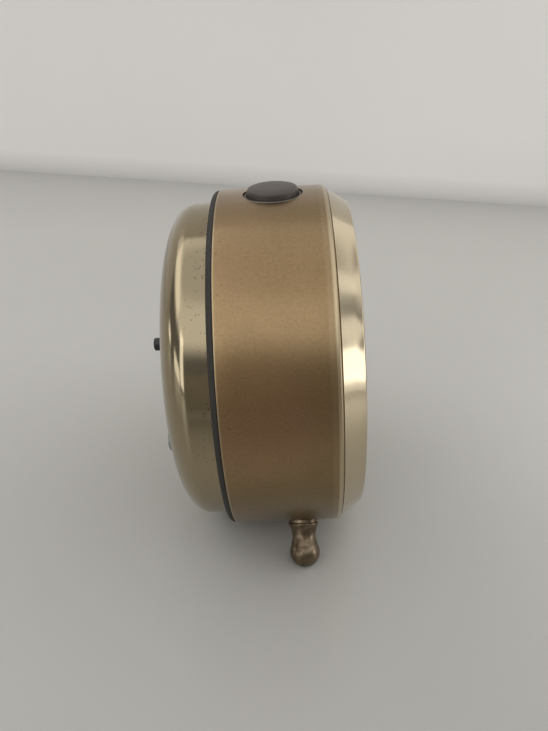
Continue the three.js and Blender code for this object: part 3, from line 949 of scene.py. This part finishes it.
def finishes():
    """All of the timer's materials, made once."""
    if not FINISHES:
        chosen = bpy.context.scene.timer_finish
        FINISHES.update(
            drum_brass=lacquered_spun_brass(),
            polished_brass=polished_brass("Polished spun brass", chosen.cover_brass, 0.75),
            bezel_brass=polished_brass("Pale polished brass", chosen.bezel_brass, 0.12),
            dark_brass=tarnished_brass(),
            movement_brass=machined_metal(
                "Stamped movement brass", chosen.movement_brass, 0.3, 0.5
            ),
            steel=machined_metal("Bright turned steel", chosen.steel, 0.3, 0.8),
            guide_steel=machined_metal("Dulled guide steel", linear("#6F6A61"), 0.45, 0.8),
            spring_steel=machined_metal("Blued spring steel", chosen.blued_steel, 0.28, 0.8),
            rubber=matt_skin("Moulded black rubber", chosen.rubber, 0.75, 2.5, 0.04),
            button_plastic=matt_skin(
                "Moulded brown plastic", chosen.button_brown, 0.42, 2.0, 0.03
            ),
            black_plastic=matt_skin(
                "Moulded black plastic", chosen.black_plastic, 0.45, 2.0, 0.03
            ),
            cream_paint=matt_skin("Sprayed cream enamel", chosen.cream, 0.5, 1.5, 0.02, 0.02),
            black_paint=matt_skin("Black printing ink", chosen.ink, 0.5, 2.0, 0.01),
            glass=clear_glass(),
        )
    return FINISHES


# ----------------------------------------------------------------------------------- operators


class TIMER_OT_movement(bpy.types.Operator):
    """Give the movement's pieces their metal finishes"""

    bl_idname = "timer.movement"
    bl_label = "Movement"

    def execute(self, context):
        materials = finishes()
        for part in frame["record"]["subparts"]:
            for holder in frame["nodes"][part["node"]].material_slots:
                holder.material = materials[part["material_slot"]]
        return {"FINISHED"}


class TIMER_OT_drum(bpy.types.Operator):
    """Build the spun brass drum"""

    bl_idname = "timer.drum"
    bl_label = "Drum"

    def execute(self, context):
        case = context.scene.timer_case
        fitting = context.scene.timer_fitting
        outer, front, roll = case.drum_radius / MM, case.drum_front / MM, case.drum_roll / MM
        wall, mouth = case.wall / MM, case.drum_mouth / MM
        inner = outer - wall
        outline = (
            [(inner, 0.15), (inner + 0.15, 0), (outer - 0.22, 0)]
            + arc((outer - 0.22, 0.22), (0.22, 0.22), -60, 0, 3)
            + [(outer, z) for z in (4, 8, 12, 16, 20, front - 1.7)]
            + [(outer - 0.02, front - 1.3), (outer - 0.06, front - 0.95)]
            + arc((outer - roll, front - roll), (roll - 0.09, roll), 15, 90, 7)
            + [
                (mouth + 0.1, front),
                (mouth, front - 0.1),
                (mouth, front - wall),
                (inner - 0.8, front - wall),
            ]
            + [(inner, front - wall - 0.8)]
        )
        drum = turn("drum", outline, case.facets, ring=True)
        through = (30, 45)
        cut(drum, put(peg(fitting.button_hole / MM, through, 64), spoke(90, BUTTON_MIDDLE)))
        spread = math.degrees(fitting.foot_spread)
        for side in (-1, 1):
            cut(drum, put(peg(1.8, through), spoke(-90 + side * spread, FOOT_MIDDLE)))
        finish(drum, finishes()["drum_brass"], "case", ["case_drum"])
        return {"FINISHED"}


class TIMER_OT_gasket(bpy.types.Operator):
    """Build the rubber gasket between the drum and the rear cover"""

    bl_idname = "timer.gasket"
    bl_label = "Gasket"

    def execute(self, context):
        outline = (
            [(35.8, -0.9), (36.1, -1.2)]
            + arc((36.9, -0.25), (0.95, 1.0), -95, 0, 8)
            + [(37.83, -0.1), (37.74, -0.03), (36.9, -0.03), (36.9, 2.2), (35.8, 2.2)]
        )
        gasket = turn("gasket", outline, context.scene.timer_case.facets, ring=True)
        finish(gasket, finishes()["rubber"], "case", ["back_gasket"])
        return {"FINISHED"}


class TIMER_OT_rear_cover(bpy.types.Operator):
    """Build the domed rear cover with its slot and holes"""

    bl_idname = "timer.rear_cover"
    bl_label = "Rear cover"

    def execute(self, context):
        case = context.scene.timer_case
        outer, flat = case.cover_radius / MM, case.cover_flat / MM
        corner, depth, wall = case.cover_corner / MM, case.cover_depth / MM, case.cover_wall / MM
        side_end = corner - depth
        outside = arc((flat, side_end), (outer - flat, corner), -90, 0, 28)
        inside = arc((flat, side_end), (outer - flat - wall, corner - wall), 0, -90, 14)
        outline = (
            [(1.0, -depth), (12, -depth)]
            + outside
            + [(outer, -2), (outer, 2.1), (outer - 0.1, 2.2), (outer - wall, 2.2)]
            + inside
            + [(1.0, wall - depth)]
        )
        cover = turn("rear_cover", outline, case.facets)
        levels = (-depth - 1, -depth + 2)
        tools = [put(peg(2.4, levels, 48), shift(*WINDING))]
        tools += [put(peg(1.5, levels), shift(*at)) for at in COVER_SCREWS.values()]
        tools += [put(peg(1.1, levels), shift(*at)) for at in arc((0, 0), (16, 16), -6, 66, 4)]
        cut(cover, *tools, self.slot_tool(levels))
        finish(cover, finishes()["polished_brass"], "case", ["back_cover"])
        return {"FINISHED"}

    def slot_tool(self, levels):
        """A rounded slot along the regulator tip's path: discs, joined to their neighbours."""
        along = [tip - pivot for tip, pivot in zip(REGULATOR_TIP, BALANCE)]
        reach, middle = math.hypot(*along), math.atan2(along[1], along[0])
        beads = []
        for degrees in range(-16, 17, 4):
            angle = middle + math.radians(degrees)
            at = Vector((*BALANCE, 0)) + Vector((math.cos(angle), math.sin(angle), 0)) * reach
            beads.append(put(peg(1.4, levels), shift(at.x, at.y)))
        links = []
        for first, second in zip(beads, beads[1:]):
            pick(first)
            bpy.ops.object.duplicate()
            left = bpy.context.object
            pick(second)
            bpy.ops.object.duplicate()
            right = bpy.context.object
            link = join("link", left, right)
            edit(link)
            bpy.ops.mesh.select_all(action="SELECT")
            bpy.ops.mesh.convex_hull()
            bpy.ops.object.mode_set(mode="OBJECT")
            links.append(link)
        for bead in beads:
            bpy.data.objects.remove(bead)
        slot = links[0]
        for link in links[1:]:
            combine(slot, link, "UNION")
        return slot


class TIMER_OT_bezel(bpy.types.Operator):
    """Build the coned bezel"""

    bl_idname = "timer.bezel"
    bl_label = "Bezel"

    def execute(self, context):
        case = context.scene.timer_case
        radius, edge, front, sight = (
            case.bezel_radius / MM,
            case.bezel_edge / MM,
            case.bezel_front / MM,
            case.sight / MM,
        )
        lip = [
            (
                edge * (1 - t) ** 2 + 2 * (edge - 0.2) * t * (1 - t) + (edge - 0.5) * t * t,
                (front - 0.4) * (1 - t) ** 2 + 2 * front * t * (1 - t) + front * t * t,
            )
            for t in [i / 6 for i in range(7)]
        ]
        back = case.drum_front / MM + 0.05
        outline = (
            [
                (33.5, 17.9),
                (35.1, 17.9),
                (35.1, back),
                (radius - 0.12, back),
                (radius, back + 0.12),
            ]
            + [
                (
                    radius + (edge - radius) * t, back + 0.12 + (front - 0.52 - back) * t
                ) for t in (0.33, 0.66)
            ]
            + lip
            + arc((sight + 0.5, front - 0.5), (0.5, 0.5), 90, 180, 5)
            + [(sight, 26.1), (33.5, 26.1)]
        )
        bezel = turn("bezel", outline, case.facets, ring=True)
        finish(bezel, finishes()["bezel_brass"], "case", ["bezel"], angle=24)
        return {"FINISHED"}


class TIMER_OT_dial(bpy.types.Operator):
    """Build the dial, its minute marks and numerals, and the rings round it"""

    bl_idname = "timer.dial"
    bl_label = "Dial"

    def execute(self, context):
        materials = finishes()
        dial = turn(
            "dial",
            [
                (1.4, 17.9),
                (32.8, 17.9),
                (32.9, 18.0),
                (32.9, 18.4),
                (32.8, DIAL_FACE),
                (1.4, DIAL_FACE),
            ],
            128,
            ring=True,
        )
        finish(dial, materials["cream_paint"], "case", ["dial"])
        rehaut = turn(
            "dial_ring",
            [(32.3, 18.9), (33.2, 18.8), (33.2, 23.5), (32.4, 23.5), (32.3, 23.4)],
            128,
            ring=True,
        )
        finish(rehaut, materials["cream_paint"], "case", ["rehaut_ring"])
        seal = turn(
            "glass_seal",
            [(31.9, 23.9), (32.0, 23.8), (33.2, 23.8), (33.2, 24.3), (32.0, 24.3), (31.9, 24.2)],
            128,
            ring=True,
        )
        finish(seal, materials["rubber"], "case", ["glass_gasket"])
        glass = turn(
            "glass",
            [(33.0, 24.6), (33.2, 24.8), (33.2, 25.6), (33.0, 25.8)],
            128,
        )
        finish(glass, materials["glass"], "case", ["front_glass"])
        marks = join(
            "minute_marks",
            self.marks("minute", 60, 0.35, 29.2, 31.2),
            self.marks("five", 12, 0.9, 28.2, 31.2),
        )
        finish(marks, materials["black_paint"], "case")
        numerals = join("numerals", *[self.numeral(i) for i in range(12)])
        finish(numerals, materials["black_paint"], "case")
        return {"FINISHED"}

    def marks(self, name, count, width, inner, outer):
        """One printed mark, spun into a full set round the dial."""
        size = (width, outer - inner, 0.03)
        mark = block(name, size, (0, (inner + outer) / 2, DIAL_FACE + 0.016))
        bpy.ops.object.mode_set(mode="EDIT")
        bpy.ops.mesh.select_all(action="SELECT")
        bpy.ops.mesh.bevel(offset=0.006 * MM, segments=1, affect="EDGES")
        bpy.ops.mesh.select_all(action="SELECT")
        bpy.ops.mesh.spin(
            steps=count, dupli=True, angle=2 * math.pi, center=(
                0, 0, 0
            ), axis=(0, 0, 1), use_auto_merge=False
        )
        bpy.ops.mesh.select_all(action="SELECT")
        bpy.ops.mesh.remove_doubles(threshold=0.001 * MM)
        bpy.ops.mesh.normals_make_consistent(inside=False)
        bpy.ops.object.mode_set(mode="OBJECT")
        return mark

    def numeral(self, index):
        """One upright printed number of minutes."""
        start_clean()
        bpy.ops.object.text_add()
        text = bpy.context.object
        text.data.body = str(5 * index)
        text.data.size = 4.6 * MM
        text.data.extrude = 0.012 * MM
        text.data.align_x = "CENTER"
        text.data.align_y = "CENTER"
        bpy.ops.object.convert(target="MESH")
        number = bpy.context.object
        angle = math.radians(90 - 30 * index)
        ring = 24.6
        at = Vector((ring * math.cos(angle), ring * math.sin(angle), DIAL_FACE + 0.014))
        number.location = at * MM
        bpy.ops.object.transform_apply(location=True, rotation=True, scale=True)
        bpy.ops.object.mode_set(mode="EDIT")
        bpy.ops.mesh.select_all(action="SELECT")
        bpy.ops.mesh.remove_doubles(threshold=0.0005 * MM)
        bpy.ops.object.mode_set(mode="OBJECT")
        return number


class TIMER_OT_hand(bpy.types.Operator):
    """Build the pointer hand"""

    bl_idname = "timer.hand"
    bl_label = "Hand"

    def execute(self, context):
        needle = block("needle", (1.8, 8, 0.5), (0, -4, 21.25))
        edit(needle)
        select_faces(needle, lambda at, normal: normal.y > 0.9)
        for step, scale in ((18, 2.4 / 1.8), (9.5, 0.3 / 2.4)):
            bpy.ops.mesh.extrude_region_move(TRANSFORM_OT_translate={"value": (0, step * MM, 0)})
            bpy.ops.transform.resize(value=(scale, 1, 1), center_override=(0, 0, 0))
        select_faces(needle, lambda at, normal: normal.y < -0.9)
        bpy.ops.transform.resize(value=(1.5 / 1.8, 1, 1), center_override=(0, 0, 0))
        bpy.ops.object.mode_set(mode="OBJECT")
        hub = turn(
            "hub",
            [(2.0, 20.6), (2.2, 20.8)] + arc((1.7, 21.4), (0.5, 0.5), 0, 90, 5) + [(1.3, 21.9)],
            64,
        )
        combine(needle, hub, "UNION")
        cut(needle, peg(1.1, (20, 23)))
        soften(needle, 0.06, 40)
        needle.name = "hand"
        finish(
            needle, finishes()["black_paint"], "hand", ["pointer_hand"], angle=35
        )
        return {"FINISHED"}


class TIMER_OT_feet(bpy.types.Operator):
    """Build the turned ball feet"""

    bl_idname = "timer.feet"
    bl_label = "Feet"

    def execute(self, context):
        fitting = context.scene.timer_fitting
        ball, centre = fitting.ball / MM, fitting.ball_centre / MM
        collar, waist = fitting.collar / MM, fitting.waist / MM
        start = 37.95
        neck_low = 39.45
        outline = (
            [(1.5, 34.4), (1.5, start), (collar - 0.15, start)]
            + arc((collar - 0.3, 38.95), (0.3, 0.45), -60, 60, 6)
            + [
                (waist + 0.42, neck_low + 0.35),
                (waist + 0.24, neck_low + 0.85),
                (waist + 0.1, neck_low + 1.4),
                (waist + 0.02, neck_low + 2.0),
                (waist, neck_low + 2.5),
                (waist + 0.06, neck_low + 2.95),
                (waist + 0.2, neck_low + 3.4),
            ]
            + arc((0, centre), (ball, ball), -29, 87, 18)
        )
        spread = math.degrees(fitting.foot_spread)
        for side, sign in (("left", -1), ("right", 1)):
            foot = turn("foot_" + side, outline, 96)
            put(foot, spoke(-90 + sign * spread, FOOT_MIDDLE))
            finish(foot, finishes()["dark_brass"], "case", ["foot_" + side])
        return {"FINISHED"}


class TIMER_OT_stop_button(bpy.types.Operator):
    """Build the stop button and the tube that guides it"""

    bl_idname = "timer.stop_button"
    bl_label = "Stop button"

    def execute(self, context):
        fitting = context.scene.timer_fitting
        radius, top = fitting.button / MM, fitting.button_top / MM
        outline = (
            [(1.2, 23.5), (1.2, 34.9), (radius - 0.15, 34.9), (radius, 35.05), (radius, top - 1.0)]
            + arc((radius - 0.75, top - 1.0), (0.75, 0.75), 12, 78, 6)
            + [(radius * k, top - 0.22 * k * k) for k in (0.72, 0.5, 0.3, 0.08)]
        )
        button = turn("stop_button_cap", outline, 96)
        put(button, spoke(90, BUTTON_MIDDLE))
        finish(
            button,
            finishes()["button_plastic"],
            "button",
            ["stop_button"],
            angle=35,
        )
        tube = turn(
            "button_tube",
            [
                (1.5, 31),
                (6.05, 31),
                (6.05, 37.6),
                (5.9, 37.75),
                (5.6, 37.75),
                (5.45, 37.6),
                (5.45, 32),
                (1.5, 32),
            ],
            96,
            ring=True,
        )
        put(tube, spoke(90, BUTTON_MIDDLE))
        finish(tube, finishes()["guide_steel"], "case", ["button_guide"])
        return {"FINISHED"}


class TIMER_OT_rear_controls(bpy.types.Operator):
    """Build the winding knob, the regulator tip and the cover screws"""

    bl_idname = "timer.rear_controls"
    bl_label = "Rear controls"

    def execute(self, context):
        materials = finishes()
        fitting = context.scene.timer_fitting
        ribs = fitting.knob_ribs
        knob = turn(
            "knob",
            [(1.9, -15.7), (5.6, -15.7), (5.9, -15.4), (6.5, -15.4), (6.8, -15.7), (7.4, -15.7)]
            + [(8.1, -15.3), (8.6, -14.9), (8.6, -12.6), (8.3, -12.1), (1.9, -12.1)],
            ribs * 4,
            ring=True,
        )
        edit(knob)
        pitch = 2 * math.pi / ribs

        def on_rib(at, normal):
            place = (math.atan2(at.y, at.x) / pitch) % 1
            return abs(at.z + 13.75) < 1 and math.hypot(at.x, at.y) > 8.3 and 0.25 < place < 0.75

        select_faces(knob, on_rib)
        bpy.ops.mesh.extrude_region_shrink_fatten(TRANSFORM_OT_shrink_fatten={"value": 0.38 * MM})
        bpy.ops.object.mode_set(mode="OBJECT")
        soften(knob, 0.08, 50)
        put(knob, shift(*WINDING))
        finish(
            knob,
            materials["black_plastic"],
            "winding",
            ["winding_knob"],
            angle=40,
        )

        tip = turn(
            "regulator_cap",
            [(0.2, -17.9)] + arc((1.15, -17.55), (0.35, 0.35), -90, 0, 6) + [
                (1.5, -12.4), (1.4, -12.3), (1.1, -12.3), (1.1, -16.8)
            ],
            64,
        )
        put(tip, shift(*REGULATOR_TIP))
        finish(tip, materials["black_plastic"], "regulator", ["regulator_tip"])

        for side, at in COVER_SCREWS.items():
            screw = turn(
                "rear_screw_" + side,
                [
                    (0.3, -13.1),
                    (2.2, -13.1),
                    (2.45, -13.0),
                    (2.6, -12.75),
                    (2.6, -12.1),
                    (1.1, -12.1),
                    (1.1, -6.4),
                ],
                64,
            )
            cut(screw, block("slot", (7, 0.7, 1.0), (0, 0, -13.1)))
            turned = Matrix.Rotation(math.radians(25 if side == "left" else -40), 4, "Z")
            put(screw, shift(*at) @ turned)
            finish(screw, materials["steel"], "case", ["cover_screw_" + side])
        return {"FINISHED"}


class TIMER_OT_stage(bpy.types.Operator):
    """Set the table, the wall, a grey flag, the light and the camera"""

    bl_idname = "timer.stage"
    bl_label = "Stage"

    def execute(self, context):
        scene = context.scene
        chosen = scene.timer_finish
        upright = Vector((0, 0, 1))
        across = Matrix.Rotation(math.radians(WALL_TURN), 3, "Z") @ Vector((1, 0, 0))
        facing = upright.cross(across)
        foot = Vector((WALL_FOOT * MM, 0, 0))

        # Painted shade: the table darkens along its joint with the wall and towards its near front.
        shade_stops = [(0, 0.84), (0.1, 0.94), (0.2, 1), (0.4, 1), (1, 0.55)]
        start = facing.dot(foot)
        laminate = plain_surface("Pale laminate", chosen.table, 0.32, 6, facing, start, 0.6, shade_stops)
        self.sheet("table", Matrix.Identity(4), (6, 6), laminate)

        height = 0.6
        # Painted shade: the wall darkens down to its joint with the table.
        shade_stops = [(0, 0.7), (0.4, 0.85), (1, 1)]
        paint = plain_surface("Matt wall paint", chosen.wall, 0.8, 4, upright, 0, 0.014, shade_stops)
        place = columns(across, upright, across.cross(upright), foot + upright * height / 2)
        self.sheet("wall", place, (6, height), paint)

        leaning = Vector((0.868, -0.016, -0.496))
        level = leaning.cross(upright).normalized()
        place = columns(level, level.cross(leaning), -leaning, Vector((-0.19, -0.002, 0.055)))
        card = plain_surface("Grey card", chosen.flag, 0.7, 6, upright, 0, 0.1, [(0, 0.9), (1, 1)])
        flag = self.sheet("flag", place, (0.15, 0.085), card)
        flag.visible_camera = False

        self.lamp("Right room", -118, 27, 44, 22, 0.6, 0.35)
        self.lamp("Right doorway", -86, 19, 24, 15, 1.1, 0.45)
        self.lamp("Right window", -73, 8, 20, 14, 2.5, 0.5)
        self.lamp("Right sill", -72, 0, 20, 7, 0.9, 0.48)
        self.lamp("Left window", 36, 20, 17, 36, 1.9, 1.2)
        self.lamp("Left sill", 61, 5, 26, 11, 1.7, 1.2)
        self.lamp("High left window", 100, 47, 56, 22, 0.6, 0.5)
        self.lamp("Far window", 96, 3, 10, 6, 2.2, 0.8)

        world = scene.world or bpy.data.worlds.new("Room")
        scene.world = world
        world.use_nodes = True
        tree = world.node_tree
        tree.nodes.clear()
        way = node(tree, "ShaderNodeTexCoord")
        rise = node(tree, "ShaderNodeSeparateXYZ", {"Vector": way.outputs["Generated"]})
        bright = node(
            tree,
            "ShaderNodeMapRange",
            {
                "Value": rise.outputs["Z"],
                "From Min": 0.42,
                "From Max": 0.63,
                "To Min": 0.2,
                "To Max": 1.3,
            },
            interpolation_type="SMOOTHSTEP",
        )
        ceiling = node(
            tree,
            "ShaderNodeMapRange",
            {
                "Value": rise.outputs["Z"],
                "From Min": 0.84,
                "From Max": 0.94,
                "To Min": 0.0,
                "To Max": 0.42,
            },
            interpolation_type="SMOOTHSTEP",
        )
        room = node(
            tree,
            "ShaderNodeMath",
            {0: bright.outputs[0], 1: ceiling.outputs[0]},
            operation="SUBTRACT",
        )
        glow = node(
            tree, "ShaderNodeBackground", {"Color": linear("#FFFFFF"), "Strength": room.outputs[0]}
        )
        node(tree, "ShaderNodeOutputWorld", {"Surface": glow.outputs[0]})
        scene.view_settings.view_transform = "Standard"

        bpy.ops.object.camera_add()
        camera = context.object
        turn_to_case = CASE_PLACE.to_3x3()
        forward = (turn_to_case @ Vector(CAMERA_AIM)).normalized()
        right = forward.cross(turn_to_case @ Vector(CAMERA_TOP)).normalized()
        eye = CASE_PLACE @ (Vector(CAMERA_EYE) * MM)
        camera.matrix_world = columns(right, right.cross(forward), -forward, eye)
        camera.data.lens = 32
        camera.data.sensor_width = 36
        camera.data.clip_start = 0.01
        scene.camera = camera
        return {"FINISHED"}

    def sheet(self, name, place, size, material):
        """A flat rectangle of the stage, its size in metres, square to the place's third axis."""
        start_clean()
        bpy.ops.mesh.primitive_plane_add(size=1)
        piece = bpy.context.object
        piece.name = name
        piece.matrix_world = place @ Matrix.Diagonal((*size, 1, 1))
        bpy.ops.object.transform_apply(location=True, rotation=True, scale=True)
        piece.data.materials.append(material)
        return piece

    def lamp(self, name, bearing, rise, width, height, radiance, distance):
        """A soft rectangular light on a sphere round the timer.

        The bearing is measured from -X towards +Y and the rise from level; width and height are
        the angles the light spans, all in degrees; the distance is in metres.
        """
        centre = Vector((0, 0, 0.04))
        bearing, rise = math.radians(bearing), math.radians(rise)
        level = math.cos(rise)
        way = Vector((-level * math.cos(bearing), level * math.sin(bearing), math.sin(rise)))
        bpy.ops.object.light_add(type="AREA", location=centre + way * distance)
        light = bpy.context.object
        light.name = name
        light.rotation_euler = (-way).to_track_quat("-Z", "Y").to_euler()
        light.visible_camera = False
        light.data.shape = "RECTANGLE"
        light.data.size = 2 * distance * math.tan(math.radians(width / 2))
        light.data.size_y = 2 * distance * math.tan(math.radians(height / 2))
        light.data.energy = radiance * math.pi * light.data.size * light.data.size_y


STEPS = (
    TIMER_OT_movement,
    TIMER_OT_drum,
    TIMER_OT_gasket,
    TIMER_OT_rear_cover,
    TIMER_OT_bezel,
    TIMER_OT_dial,
    TIMER_OT_hand,
    TIMER_OT_feet,
    TIMER_OT_stop_button,
    TIMER_OT_rear_controls,
    TIMER_OT_stage,
)


class TIMER_PT_build(bpy.types.Panel):
    """Lists the steps that build the timer"""

    bl_idname = "TIMER_PT_build"
    bl_label = "Minute Timer"
    bl_space_type = "VIEW_3D"
    bl_region_type = "UI"
    bl_category = "Timer"

    def draw(self, context):
        layout = self.layout
        for settings in (
            context.scene.timer_case, context.scene.timer_fitting, context.scene.timer_finish
        ):
            box = layout.box()
            for name in settings.__annotations__:
                box.prop(settings, name)
        for step in STEPS:
            layout.operator(step.bl_idname)


SETTINGS = {
    "timer_case": TimerCaseSettings,
    "timer_fitting": TimerFittingSettings,
    "timer_finish": TimerFinishSettings,
}


def register():
    for name, group in SETTINGS.items():
        bpy.utils.register_class(group)
        setattr(bpy.types.Scene, name, PointerProperty(type=group))
    for step in STEPS:
        bpy.utils.register_class(step)
    bpy.utils.register_class(TIMER_PT_build)


def unregister():
    bpy.utils.unregister_class(TIMER_PT_build)
    for step in reversed(STEPS):
        bpy.utils.unregister_class(step)
    for name, group in SETTINGS.items():
        delattr(bpy.types.Scene, name)
        bpy.utils.unregister_class(group)


def main():
    register()
    for step in STEPS:
        family, action = step.bl_idname.split(".")
        getattr(getattr(bpy.ops, family), action)()


if __name__ == "__main__":
    main()
